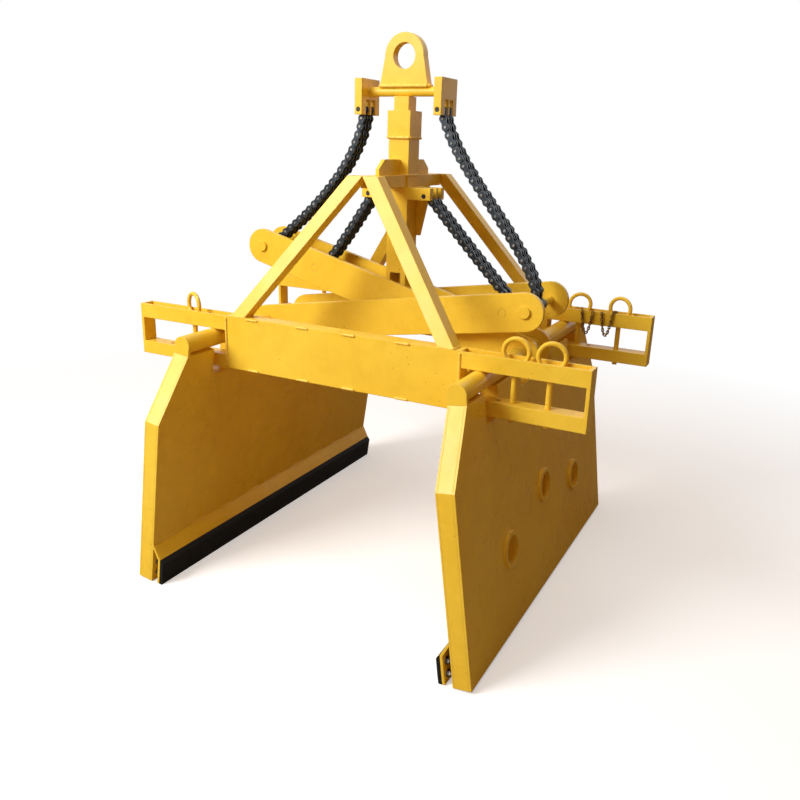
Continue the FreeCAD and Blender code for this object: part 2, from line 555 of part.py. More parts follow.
def bezier(ends, t):
    weights = ((1 - t) ** 3, 3 * (1 - t) ** 2 * t, 3 * (1 - t) * t * t, t ** 3)
    x, z = (sum(weight * spot[side] for weight, spot in zip(weights, ends)) for side in (0, 1))
    return Vector(x, 0, z)


def chain_pins(ends, end_gap):
    """Pin centres one pitch apart down the curve, as far as the end gap allows."""
    steps = 4000
    last = bezier(ends, 1)
    spots = [bezier(ends, 0)]
    for k in range(1, steps + 1):
        here = bezier(ends, k / steps)
        if (here - last).Length < end_gap:
            break
        if (here - spots[-1]).Length >= size("chain_pitch"):
            spots.append(here)
    return spots


def link(start, stop, middle, thick):
    """One link plate with pointed ends between two chain pins."""
    half = size("link_depth") / 2
    along = (stop - start).normalize()
    side = Vector(-along.z, 0, along.x)
    lead = along * size("link_point")
    outline = [start - lead, start + side * half, stop + side * half, stop + lead, stop - side * half,
               start - side * half]
    ring = [p + Vector(0, middle - thick / 2, 0) for p in outline]
    return Part.Face(Part.makePolygon(ring + ring[:1])).extrude(Vector(0, thick, 0))


def chain_span(name, spots, first):
    """The links of one rigid span, bored at its first pin, which the span above carries."""
    inner, outer, free = size("inner_link"), size("outer_link"), size("pin_clearance")
    plates = []
    for k, (start, stop) in enumerate(zip(spots, spots[1:])):
        # The last link stands clear of its neighbours, because the next span turns against it
        play = free if k == len(spots) - 2 else 0
        for row in (-size("chain_row_offset"), size("chain_row_offset")):
            if (first + k) % 2 == 0:
                plates.append(link(start, stop, row, inner - 2 * play))
            else:
                offset = (inner + outer) / 2 + play
                plates += [link(start, stop, row + way * offset, outer) for way in (-1, 1)]
    reach = size("chain_row_offset") + inner / 2 + outer + free
    across = Vector(0, 1, 0)
    rivets = [Part.makeCylinder(size("rivet_radius"), 2 * reach, spot - across * reach, across)
              for spot in spots[-2:]]
    hinge_radius = size("chain_pin_radius" if first == 0 else "rivet_radius") + free
    bore = Part.makeCylinder(hinge_radius, 4 * reach, spots[0] - across * 2 * reach, across)
    shape = plates[0].fuse(plates[1:] + rivets).cut(bore).removeSplitter()
    thing = doc.addObject("Part::Feature", name)
    thing.Shape = shape
    return keep(thing)


# Two points, as X and Z, that each chain's curve is drawn toward between its ends
BOWS = {
    "upper_left": ((-150, 1300), (-330, 1140)), "upper_right": ((170, 1290), (470, 1060)),
    "lower_left": ((-150, 1138), (-230, 1018)), "lower_right": ((190, 1112), (300, 1000)),
}
HEAD = (size("head_block_middle"), size("head_pin_height"))
FRAME = (size("frame_pin_reach"), size("frame_pin_height"))
slope_a, slope_b = (math.radians(size(f"arm_{arm}_slope")) for arm in "ab")
A_CHAIN = (-size("arm_a_chain_reach"),
           size("pivot_height") + (size("jaw_reach") + size("arm_a_chain_reach")) * math.tan(slope_a))
B_CHAIN = (size("arm_b_chain_reach"),
           size("pivot_height") + (size("jaw_reach") + size("arm_b_chain_reach")) * math.tan(slope_b))
CHAINS = {
    "chain_upper_left": (3, ((-HEAD[0], HEAD[1]), *BOWS["upper_left"],
                             (-size("arm_a_end_reach"), size("arm_a_end_height")))),
    "chain_upper_right": (3, (HEAD, *BOWS["upper_right"],
                              (size("arm_b_end_reach"), size("arm_b_end_height")))),
    "chain_lower_left": (2, ((-FRAME[0], FRAME[1]), *BOWS["lower_left"], A_CHAIN)),
    "chain_lower_right": (2, (FRAME, *BOWS["lower_right"], B_CHAIN)),
}
for name, (spans, ends) in CHAINS.items():
    spots = chain_pins(ends, size("upper_end_gap" if "upper" in name else "lower_end_gap"))
    links = len(spots) - 1
    cuts = [round(k * links / spans) for k in range(spans + 1)]
    for k in range(spans):
        chain_span(f"{name}_{k + 1}", spots[cuts[k]:cuts[k + 1] + 1], cuts[k])
        print(name, k + 1, "hinge at", [round(v, 2) for v in spots[cuts[k]]])

doc.recompute()
for thing in doc.Objects:
    if "Invalid" in thing.State or "Error" in thing.State:
        raise RuntimeError(f"{thing.Name} failed: {thing.State}")
os.makedirs("parts", exist_ok=True)
for name, thing in nodes.items():
    shape = thing.Shape
    if shape.isNull() or not shape.isValid():
        raise RuntimeError(f"{name} has no sound shape")
    shape.exportStep(f"parts/{name}.step")
print(len(nodes), "sub-parts")
for word in ("pivot_height", "arm_a_slope", "arm_b_slope", "jaw_drop"):
    print(word, round(size(word), 3))
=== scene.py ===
import json
import math

import bmesh
import bpy
from mathutils import Matrix, Vector


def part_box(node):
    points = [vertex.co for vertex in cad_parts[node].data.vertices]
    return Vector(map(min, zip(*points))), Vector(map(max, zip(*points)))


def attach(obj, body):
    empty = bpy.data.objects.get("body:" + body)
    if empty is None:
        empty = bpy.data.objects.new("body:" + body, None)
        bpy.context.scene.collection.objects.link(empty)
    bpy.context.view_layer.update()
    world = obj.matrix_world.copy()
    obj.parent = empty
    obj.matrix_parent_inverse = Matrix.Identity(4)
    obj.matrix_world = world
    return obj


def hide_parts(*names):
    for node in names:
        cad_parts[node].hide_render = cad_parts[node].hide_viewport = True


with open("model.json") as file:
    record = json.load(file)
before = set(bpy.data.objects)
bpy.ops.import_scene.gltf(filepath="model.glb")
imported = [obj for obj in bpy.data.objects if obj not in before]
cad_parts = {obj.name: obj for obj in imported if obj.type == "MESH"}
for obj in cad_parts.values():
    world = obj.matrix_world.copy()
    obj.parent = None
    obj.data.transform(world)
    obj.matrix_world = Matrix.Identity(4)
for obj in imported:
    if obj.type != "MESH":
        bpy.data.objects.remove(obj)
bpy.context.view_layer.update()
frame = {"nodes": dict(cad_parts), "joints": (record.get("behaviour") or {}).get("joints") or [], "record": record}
MM = 0.001
nodes = frame["nodes"]
joints = {joint["name"]: joint for joint in frame["joints"]}
bodies = frame["record"]["behaviour"]["bodies"]
body_of = {node: body for body, members in bodies.items() for node in members}
collection = bpy.context.scene.collection


# Materials
class Shade:
    """A small helper that adds nodes to one material and links them."""

    def __init__(self, name):
        self.material = bpy.data.materials.new(name)
        self.material.use_nodes = True
        self.tree = self.material.node_tree
        self.surface = self.tree.nodes["Principled BSDF"]
        self.place = self.add("ShaderNodeTexCoord").outputs["Object"]

    def add(self, kind, **settings):
        node = self.tree.nodes.new(kind)
        for key, value in settings.items():
            if key in node.inputs:
                node.inputs[key].default_value = value
            else:
                setattr(node, key, value)
        return node

    def link(self, source, target):
        self.tree.links.new(source, target)

    def noise(self, scale, detail=4.0, roughness=0.55):
        node = self.add("ShaderNodeTexNoise", Scale=scale, Detail=detail, Roughness=roughness)
        self.link(self.place, node.inputs["Vector"])
        return node.outputs["Fac"]

    def ramp(self, source, stops):
        node = self.add("ShaderNodeValToRGB")
        band = node.color_ramp
        while len(band.elements) < len(stops):
            band.elements.new(0.5)
        for element, (spot, colour) in zip(band.elements, stops):
            element.position = spot
            element.color = (*colour, 1)
        self.link(source, node.inputs["Fac"])
        return node.outputs["Color"]

    def mix(self, factor, one, two, kind="MIX"):
        node = self.add("ShaderNodeMix", data_type="RGBA", blend_type=kind)
        for slot, value in ((0, factor), (6, one), (7, two)):
            if isinstance(value, (float, int)):
                node.inputs[slot].default_value = value
            elif isinstance(value, tuple):
                node.inputs[slot].default_value = (*value, 1)
            else:
                self.link(value, node.inputs[slot])
        return node.outputs[2]

    def rounded(self, radius):
        """A normal that eases the sharp edges."""
        node = self.add("ShaderNodeBevel", samples=4, Radius=radius)
        return node.outputs["Normal"]

    def bump(self, height, strength, distance, normal=None):
        node = self.add("ShaderNodeBump", Strength=strength, Distance=distance)
        self.link(height, node.inputs["Height"])
        if normal is not None:
            self.link(normal, node.inputs["Normal"])
        self.link(node.outputs["Normal"], self.surface.inputs["Normal"])

    def edges(self, eased):
        """White where the eased normal leaves the flat one, which is along the edges."""
        flat = self.add("ShaderNodeNewGeometry").outputs["Normal"]
        meet = self.add("ShaderNodeVectorMath", operation="DOT_PRODUCT")
        self.link(eased, meet.inputs[0])
        self.link(flat, meet.inputs[1])
        return self.ramp(meet.outputs["Value"], ((0.90, (1, 1, 1)), (0.985, (0, 0, 0))))


def yellow_paint():
    """Thick amber enamel, cloudy in tone, paler along edges, with dust and a few rust specks."""
    shade = Shade("yellow_enamel")
    cloud = shade.ramp(shade.noise(2.6, 3), ((0.3, (0.87, 0.54, 0.034)), (0.52, (0.92, 0.60, 0.048)),
                                              (0.75, (0.94, 0.64, 0.062))))
    run = shade.ramp(shade.noise(26, 5, 0.65), ((0.35, (0.90, 0.88, 0.8)), (0.65, (1, 1, 1))))
    tone = shade.mix(0.6, cloud, run, "MULTIPLY")
    grime = shade.ramp(shade.noise(9, 7, 0.68), ((0.60, (0, 0, 0)), (0.82, (0.34, 0.34, 0.34))))
    dusty = shade.mix(grime, tone, (0.50, 0.22, 0.006))
    eased = shade.rounded(3.5 * MM)
    rubbed = shade.ramp(shade.noise(34, 6), ((0.4, (0, 0, 0)), (0.6, (1, 1, 1))))
    worn = shade.mix(0.5, shade.edges(eased), rubbed, "MULTIPLY")
    edge = shade.mix(worn, dusty, (0.95, 0.64, 0.08))
    specks = shade.ramp(shade.noise(130, 2, 0.5), ((0.745, (0, 0, 0)), (0.765, (1, 1, 1))))
    shade.link(shade.mix(specks, edge, (0.13, 0.04, 0.01)), shade.surface.inputs["Base Color"])
    gloss = shade.ramp(shade.noise(8, 6), ((0.3, (0.22, 0.22, 0.22)), (0.75, (0.42, 0.42, 0.42))))
    shade.link(gloss, shade.surface.inputs["Roughness"])
    shade.surface.inputs["Specular IOR Level"].default_value = 0.2
    shade.surface.inputs["Coat Weight"].default_value = 0.08
    shade.surface.inputs["Coat Roughness"].default_value = 0.2
    shade.bump(shade.noise(60, 3), 0.14, 0.0015, eased)
    return shade.material


def weld_paint():
    """The same enamel over weld beads, paler, with a tone that varies at random."""
    shade = Shade("weld_enamel")
    tone = shade.ramp(shade.noise(90, 4), ((0.35, (0.84, 0.50, 0.03)), (0.65, (0.95, 0.65, 0.09))))
    shade.link(tone, shade.surface.inputs["Base Color"])
    shade.surface.inputs["Roughness"].default_value = 0.42
    shade.bump(shade.noise(260, 3), 0.5, 0.002)
    return shade.material


def chain_steel():
    """Oiled black link plates, greyer on rubbed edges, with dried grease."""
    shade = Shade("oiled_chain_steel")
    base = shade.ramp(shade.noise(60, 5), ((0.3, (0.012, 0.016, 0.021)), (0.7, (0.042, 0.052, 0.062))))
    eased = shade.rounded(1.2 * MM)
    shade.link(shade.mix(shade.edges(eased), base, (0.10, 0.12, 0.14)), shade.surface.inputs["Base Color"])
    shade.surface.inputs["Metallic"].default_value = 0.55
    gloss = shade.ramp(shade.noise(45, 5), ((0.3, (0.24, 0.24, 0.24)), (0.7, (0.5, 0.5, 0.5))))
    shade.link(gloss, shade.surface.inputs["Roughness"])
    shade.bump(shade.noise(220, 3), 0.25, 0.0008, eased)
    return shade.material


def oiled_pin():
    """A pin's black, greasy end, seen deep in its bore."""
    shade = Shade("oiled_pin")
    base = shade.ramp(shade.noise(70, 4), ((0.35, (0.008, 0.007, 0.006)), (0.7, (0.05, 0.035, 0.02))))
    shade.link(base, shade.surface.inputs["Base Color"])
    shade.surface.inputs["Metallic"].default_value = 0.4
    shade.surface.inputs["Roughness"].default_value = 0.55
    shade.bump(shade.noise(240, 2), 0.3, 0.0006)
    return shade.material


def pin_steel():
    """Ground steel, dulled and lightly stained."""
    shade = Shade("dull_pin_steel")
    base = shade.ramp(shade.noise(40, 6), ((0.3, (0.09, 0.085, 0.08)), (0.7, (0.30, 0.29, 0.27))))
    shade.link(base, shade.surface.inputs["Base Color"])
    shade.surface.inputs["Metallic"].default_value = 0.8
    shade.surface.inputs["Roughness"].default_value = 0.42
    shade.bump(shade.noise(300, 2), 0.2, 0.0006)
    return shade.material


def tether_steel():
    """Small chain with brown rust over worn yellow paint."""
    shade = Shade("rusty_tether")
    base = shade.ramp(shade.noise(70, 5), ((0.35, (0.09, 0.035, 0.008)), (0.68, (0.42, 0.23, 0.02))))
    shade.link(base, shade.surface.inputs["Base Color"])
    shade.surface.inputs["Metallic"].default_value = 0.25
    shade.surface.inputs["Roughness"].default_value = 0.55
    shade.bump(shade.noise(300, 3), 0.35, 0.0008)
    return shade.material


def pad_rubber():
    """Matt black rubber with a fine grain and brick dust in it."""
    shade = Shade("black_rubber")
    tones = ((0.35, (0.003, 0.003, 0.003)), (0.62, (0.009, 0.009, 0.009)), (0.8, (0.03, 0.027, 0.024)))
    base = shade.ramp(shade.noise(30, 6, 0.7), tones)
    shade.link(base, shade.surface.inputs["Base Color"])
    shade.surface.inputs["Roughness"].default_value = 0.78
    shade.surface.inputs["Specular IOR Level"].default_value = 0.22
    shade.bump(shade.noise(420, 3), 0.5, 0.0012)
    return shade.material


FLOOR_GLOW = 0.42
FLOOR_FADE = (1.3, 3.2)
FLOOR_BOUNCE = (0.36, 0.30, 0.24)


def floor_paint():
    """A pale floor that keeps the soft shadow near the clamp and fades to plain white further out."""
    shade = Shade("pale_floor")
    tone = shade.ramp(shade.noise(0.6, 2), ((0.4, (0.78, 0.78, 0.78)), (0.6, (0.80, 0.80, 0.80))))
    shade.link(tone, shade.surface.inputs["Base Color"])
    shade.surface.inputs["Roughness"].default_value = 0.9
    shade.surface.inputs["Specular IOR Level"].default_value = 0.1
    glow = shade.add("ShaderNodeEmission", Strength=FLOOR_GLOW)
    lifted = shade.add("ShaderNodeAddShader")
    shade.link(shade.surface.outputs[0], lifted.inputs[0])
    shade.link(glow.outputs[0], lifted.inputs[1])
    reach = shade.add("ShaderNodeVectorMath", operation="LENGTH")
    shade.link(shade.place, reach.inputs[0])
    far = shade.add("ShaderNodeMapRange")
    far.inputs["From Min"].default_value, far.inputs["From Max"].default_value = FLOOR_FADE
    shade.link(reach.outputs["Value"], far.inputs["Value"])
    white = shade.add("ShaderNodeEmission", Strength=1.0)
    faded = shade.add("ShaderNodeMixShader")
    shade.link(far.outputs[0], faded.inputs[0])
    shade.link(lifted.outputs[0], faded.inputs[1])
    shade.link(white.outputs[0], faded.inputs[2])
    seen = shade.add("ShaderNodeLightPath").outputs["Is Camera Ray"]
    dim = shade.add("ShaderNodeBsdfDiffuse")
    dim.inputs["Color"].default_value = (*FLOOR_BOUNCE, 1)
    final = shade.add("ShaderNodeMixShader")
    shade.link(seen, final.inputs[0])
    shade.link(dim.outputs[0], final.inputs[1])
    shade.link(faded.outputs[0], final.inputs[2])
    shade.link(final.outputs[0], shade.tree.nodes["Material Output"].inputs["Surface"])
    return shade.material


YELLOW = yellow_paint()
WELD = weld_paint()
CHAIN = chain_steel()
PIN = pin_steel()
RUBBER = pad_rubber()
OILED_PIN = oiled_pin()
TETHER = tether_steel()
PIECES_BY_SLOT = {"yellow_paint": YELLOW, "chain_steel": CHAIN, "pin_steel": PIN, "bolt_steel": PIN,
                  "pad_rubber": RUBBER}
for part in frame["record"]["subparts"]:
    mesh = nodes[part["node"]].data
    mesh.materials.clear()
    hidden_pin = part["node"] in ("head_chain_pins", "frame_chain_pins")
    mesh.materials.append(OILED_PIN if hidden_pin else PIECES_BY_SLOT[part["material_slot"]])


# Mesh helpers
def piece(name, built, material, body, smooth_angle=None):
    """Turn a bmesh into an object that rides on a body."""
    bmesh.ops.recalc_face_normals(built, faces=built.faces)
    mesh = bpy.data.meshes.new(name)
    built.to_mesh(mesh)
    built.free()
    mesh.materials.append(material)
    thing = bpy.data.objects.new(name, mesh)
    collection.objects.link(thing)
    if smooth_angle is not None:
        mesh.shade_smooth()
        mesh.set_sharp_from_angle(angle=math.radians(smooth_angle))
    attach(thing, body)
    return thing


def basis(along):
    """Two unit directions square to a direction."""
    along = along.normalized()
    side = along.cross(Vector((0, 0, 1)))
    if side.length < 1e-3:
        side = along.cross(Vector((0, 1, 0)))
    side.normalize()
    return side, side.cross(along).normalized()


def sweep(built, path, radii, sides=10, closed=False):
    """A round tube through points, with a radius at each."""
    rings = []
    count = len(path)
    for k, here in enumerate(path):
        before = path[(k - 1) % count] if closed or k else here
        after = path[(k + 1) % count] if closed or k < count - 1 else here
        side, up = basis(after - before)
        rings.append([built.verts.new(here + (side * math.cos(a) + up * math.sin(a)) * radii[k])
                      for a in (2 * math.pi * j / sides for j in range(sides))])
    for k in range(count if closed else count - 1):
        one, two = rings[k], rings[(k + 1) % count]
        for j in range(sides):
            built.faces.new((one[j], one[(j + 1) % sides], two[(j + 1) % sides], two[j]))
    if not closed:
        built.faces.new(rings[0])
        built.faces.new(rings[-1])


def disc(built, centre, axis, radius, thick, sides=20, rim=0.0):
    """A short round bar from a centre along an axis, with an eased far edge."""
    rim = min(rim, thick * 0.5)
    path = [centre, centre + axis * (thick - rim), centre + axis * thick]
    sweep(built, path, [radius, radius, radius - rim], sides)


def prism(built, centre, axis, radius, thick, sides=6, turn=0.0):
    """A bar with flat sides, such as a nut or a bolt head."""
    side, up = basis(axis)
    ends = []
    for lift in (0, thick):
        foot = centre + axis * lift
        ends.append([built.verts.new(foot + (side * math.cos(a) + up * math.sin(a)) * radius)
                     for a in (turn + 2 * math.pi * j / sides for j in range(sides))])
    for j in range(sides):
        built.faces.new((ends[0][j], ends[0][(j + 1) % sides], ends[1][(j + 1) % sides], ends[1][j]))
    built.faces.new(ends[0])
    built.faces.new(ends[1])


def slab(built, low, high):
    """A box between two corners."""
    corners = [built.verts.new((x, y, z))
               for x in (low.x, high.x) for y in (low.y, high.y) for z in (low.z, high.z)]
    for sides in ((0, 1, 3, 2), (4, 5, 7, 6), (0, 1, 5, 4), (2, 3, 7, 6), (0, 2, 6, 4), (1, 3, 7, 5)):
        built.faces.new([corners[k] for k in sides])


def liner(built, start, along, radius, wall, sides=40):
    """A thin round sleeve from a point to the end of a vector."""
    side, up = basis(along)
    rings = []
    for centre, reach in ((start, radius), (start + along, radius), (start + along, radius - wall),
                          (start, radius - wall)):
        rings.append([built.verts.new(centre + (side * math.cos(a) + up * math.sin(a)) * reach)
                      for a in (2 * math.pi * j / sides for j in range(sides))])
    for k in range(4):
        one, two = rings[k], rings[(k + 1) % 4]
        for j in range(sides):
            built.faces.new((one[j], one[(j + 1) % sides], two[(j + 1) % sides], two[j]))


# Weld beads: lumpy round beads along the seams
WELD_STEP = 6 * MM


def bead(built, start, stop, radius):
    """One weld run with even ripples."""
    run = stop - start
    count = max(3, int(run.length / WELD_STEP) * 2)
    path = [start + run * (k / count) for k in range(count + 1)]
    radii = [radius * (1.0 if k % 2 else 0.82) for k in range(count + 1)]
    radii[0] = radii[-1] = radius * 0.45
    sweep(built, path, radii, 8)


def welds(name, body, runs, radius=4.5 * MM):
    built = bmesh.new()
    for start, stop in runs:
        bead(built, Vector(start), Vector(stop), radius)
    return piece(name, built, WELD, body, 50)


def ring_runs(low, high, z):
    """The four sides of a rectangle at one height."""
    corners = [(low.x, low.y, z), (high.x, low.y, z), (high.x, high.y, z), (low.x, high.y, z)]
    return [(corners[k], corners[(k + 1) % 4]) for k in range(4)]


# Chains: waisted link plates, rollers and riveted pins along each chain's curve
PITCH = 25.4 * MM
LINK_HALF = 12 * MM
ROW_OFFSET = 17 * MM
INNER_HALF = 7.4 * MM
PLATE = 3.6 * MM
LINK_PLAY = 0.4 * MM
ROLLER = 8 * MM
ROLLER_HALF = INNER_HALF - PLATE - LINK_PLAY
RIVET = 4.6 * MM
CURVE_STEPS = 4000
WAIST = 0.66
RIVET_PROUD = 2.4 * MM
END_GAP = {"upper": 26 * MM, "lower": 48 * MM}


def bezier(ends, t):
    weights = ((1 - t) ** 3, 3 * (1 - t) ** 2 * t, 3 * (1 - t) * t * t, t ** 3)
    total = Vector((0, 0, 0))
    for weight, spot in zip(weights, ends):
        total += Vector(spot) * weight
    return total


def chain_pins(ends, gap):
    """Pin centres one pitch apart down the curve, to the gap at its end."""
    last = bezier(ends, 1)
    spots = [bezier(ends, 0)]
    for k in range(1, CURVE_STEPS + 1):
        here = bezier(ends, k / CURVE_STEPS)
        if (here - last).length < gap:
            break
        if (here - spots[-1]).length >= PITCH:
            spots.append(here)
    return spots


def link_plate(built, start, stop, middle, thick, half=LINK_HALF):
    """One plate with round ends and a waist, standing in the chain's plane."""
    along = (stop - start).normalized()
    side = Vector((-along.z, 0, along.x))
    outline = []
    steps = 6
    for end, sign in ((start, -1), (stop, 1)):
        for k in range(steps + 1):
            angle = -math.pi / 2 + math.pi * k / steps
            outline.append(end + (along * math.cos(angle) + side * math.sin(angle)) * sign * half)
        outline.append((start + stop) / 2 + side * sign * half * WAIST)
    faces = []
    for y in (middle - thick / 2, middle + thick / 2):
        faces.append([built.verts.new(p + Vector((0, y, 0))) for p in outline])
    count = len(outline)
    for k in range(count):
        built.faces.new((faces[0][k], faces[0][(k + 1) % count], faces[1][(k + 1) % count], faces[1][k]))
    built.faces.new(faces[0])
    built.faces.new(faces[1])


def chain_links(built, spots, first):
    """The links of one span, with its pins, except the first one that the span above carries."""
    across = Vector((0, 1, 0))
    for k, (start, stop) in enumerate(zip(spots, spots[1:])):
        outer = (first + k) % 2 == 1
        for row in (-ROW_OFFSET, ROW_OFFSET):
            offset = INNER_HALF - PLATE / 2 + (PLATE + LINK_PLAY if outer else 0)
            for way in (-1, 1):
                link_plate(built, start, stop, row + way * offset, PLATE)
    reach = ROW_OFFSET + INNER_HALF + PLATE
    for spot in spots[1:]:
        disc(built, spot - across * reach, across, RIVET, 2 * reach, 12)
        for row in (-ROW_OFFSET, ROW_OFFSET):
            disc(built, spot + across * (row - ROLLER_HALF), across, ROLLER, 2 * ROLLER_HALF, 14)


def rivet_heads(name, body, spots):
    """Domed rivet heads on both sides of a span, rubbed bright."""
    built = bmesh.new()
    across = Vector((0, 1, 0))
    reach = ROW_OFFSET + INNER_HALF + PLATE
    for spot in spots[1:]:
        for way in (-1, 1):
            outward = across * way
            disc(built, spot + outward * reach, outward, RIVET, RIVET_PROUD, 12, RIVET_PROUD * 0.5)
    return piece(name, built, PIN, body, 40)


def end_shackle(name, body, spots, pin_spot, pin_radius):
    """The last link, from the chain's end to the arm's pin, which carries it."""
    built = bmesh.new()
    across = Vector((0, 1, 0))
    for row in (-ROW_OFFSET, ROW_OFFSET):
        link_plate(built, spots[-1], pin_spot, row, 2 * ROLLER_HALF, LINK_HALF * 0.96)
    reach = ROW_OFFSET + INNER_HALF + PLATE
    disc(built, pin_spot - across * reach, across, pin_radius * 1.5, 2 * reach, 20)
    return piece(name, built, CHAIN, body, 40)


def pivot(joint):
    return Vector(joints[joint]["pos_m"])


def middle_of(node_boxes):
    low, high = node_boxes
    return (low + high) / 2


a_pins_low, a_pins_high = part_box("arm_a_pins")
b_pins_low, b_pins_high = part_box("arm_b_pins")
BOSS = 18 * MM
ARM_PIN = 12 * MM
A_END = Vector((a_pins_low.x + BOSS, 0, a_pins_high.z - BOSS))
A_CHAIN = Vector((a_pins_high.x - ARM_PIN, 0, a_pins_low.z + ARM_PIN))
B_END = Vector((b_pins_high.x - BOSS, 0, b_pins_high.z - BOSS))
B_CHAIN = Vector((b_pins_low.x + ARM_PIN, 0, b_pins_low.z + ARM_PIN))
CHAINS = {
    "upper_left": (3, A_END, ((-0.150, 0, 1.300), (-0.330, 0, 1.140)), "arm_a"),
    "upper_right": (3, B_END, ((0.170, 0, 1.290), (0.470, 0, 1.060)), "arm_b"),
    "lower_left": (2, A_CHAIN, ((-0.150, 0, 1.138), (-0.230, 0, 1.018)), "arm_a"),
    "lower_right": (2, B_CHAIN, ((0.190, 0, 1.112), (0.300, 0, 1.000)), "arm_b"),
}
for spot, (spans, last, middles, arm) in CHAINS.items():
    top = pivot(f"chain_{spot}_1_bend")
    spots = chain_pins((top, *middles, last), END_GAP[spot.split("_")[0]])
    links = len(spots) - 1
    cuts = [round(k * links / spans) for k in range(spans + 1)]
    for k in range(spans):
        built = bmesh.new()
        chain_links(built, spots[cuts[k]:cuts[k + 1] + 1], cuts[k])
        node = f"chain_{spot}_{k + 1}"
        links_piece = piece(f"links_{spot}_{k + 1}", built, CHAIN, body_of[node], 40)
        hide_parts(node)
        rivet_heads(f"rivets_{spot}_{k + 1}", body_of[node], spots[cuts[k]:cuts[k + 1] + 1])
    end_shackle(f"end_link_{spot}", arm, spots, last, ARM_PIN)


# Weld seams
collar_low, collar_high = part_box("mast_collar")
mast_low, mast_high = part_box("mast_tube")
eye_low, eye_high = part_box("lifting_eye")
welds("weld_collar", "frame", ring_runs(collar_low, collar_high, collar_low.z))
welds("weld_mast_ridge", "frame", ring_runs(mast_low, mast_high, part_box("ridge_beams")[1].z))
welds("weld_eye", "head", ring_runs(eye_low, eye_high, eye_low.z + 2 * MM), 6 * MM)
spreader_low, spreader_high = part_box("spreader_bar")
for side, x in (("left", spreader_low.x), ("right", spreader_high.x)):
    middle = middle_of((spreader_low, spreader_high))
    radius = (spreader_high.z - spreader_low.z) / 2
    spots = [Vector((x, middle.y + math.cos(a) * radius, middle.z + math.sin(a) * radius))
             for a in (2 * math.pi * k / 40 for k in range(40))]
    built = bmesh.new()
    sweep(built, spots, [(4.2 if k % 2 else 3.4) * MM for k in range(40)], 8, closed=True)
    piece(f"weld_spreader_{side}", built, WELD, "head", 50)

STITCH_SHARES = (0.13, 0.36, 0.56, 0.78)
STITCH_HALF = 22 * MM
SEAM_INSET = 3 * MM
SEAM_END = 4 * MM
LEG_FOOT = 27 * MM
LEG_HALF = (25 * MM, 22 * MM)
for end in ("front", "rear"):
    low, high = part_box(f"beam_box_{end}")
    face = low.y if end == "front" else high.y
    stitches = []
    for share in STITCH_SHARES:
        x = low.x + (high.x - low.x) * share
        for z in (high.z - SEAM_INSET, low.z + SEAM_INSET):
            stitches.append(((x - STITCH_HALF, face, z), (x + STITCH_HALF, face, z)))
    for x in (low.x + SEAM_INSET, high.x - SEAM_INSET):
        stitches.append(((x, face, low.z + SEAM_END), (x, face, high.z - SEAM_END)))
    welds(f"weld_beam_{end}", "frame", stitches, 4.6 * MM)
    for side in ("left", "right"):
        leg_low, leg_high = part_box(f"leg_{end}_{side}")
        toe = leg_high.x - LEG_FOOT if side == "right" else leg_low.x + LEG_FOOT
        beam_middle = (low.y + high.y) / 2
        reach = Vector((LEG_HALF[0], LEG_HALF[1], 0))
        foot = Vector((toe, beam_middle, 0))
        runs = ring_runs(foot - reach, foot + reach, high.z + 1 * MM)
        welds(f"weld_leg_{end}_{side}", "frame", runs, 4 * MM)


# Plugs in the legs' open tops
LEG_VOID = Vector((19 * MM, 16 * MM, 0))
PLUG = 5 * MM
built = bmesh.new()
for end in ("front", "rear"):
    for side in ("left", "right"):
        low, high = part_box(f"leg_{end}_{side}")
        top = Vector((low.x + LEG_HALF[0] if side == "right" else high.x - LEG_HALF[0],
                      high.y - LEG_HALF[1] if end == "front" else low.y + LEG_HALF[1], high.z))
        slab(built, top - LEG_VOID - Vector((0, 0, PLUG)), top + LEG_VOID - Vector((0, 0, 0.5 * MM)))
piece("leg_plugs", built, YELLOW, "frame")


# Jaw details: a stitched seam over each pad carrier, its end bolts with nuts and washers, and hole sleeves
SPLAY = math.radians(8)


def jaw_point(side, out, y, down):
    """A point given in a jaw panel's own line, out from the middle and down from the tube."""
    hinge = pivot("arm_a_turn") if side > 0 else pivot("arm_b_turn")
    return Vector((hinge.x + side * (out * math.cos(SPLAY) + down * math.sin(SPLAY)), y,
                   hinge.z + out * math.sin(SPLAY) - down * math.cos(SPLAY)))


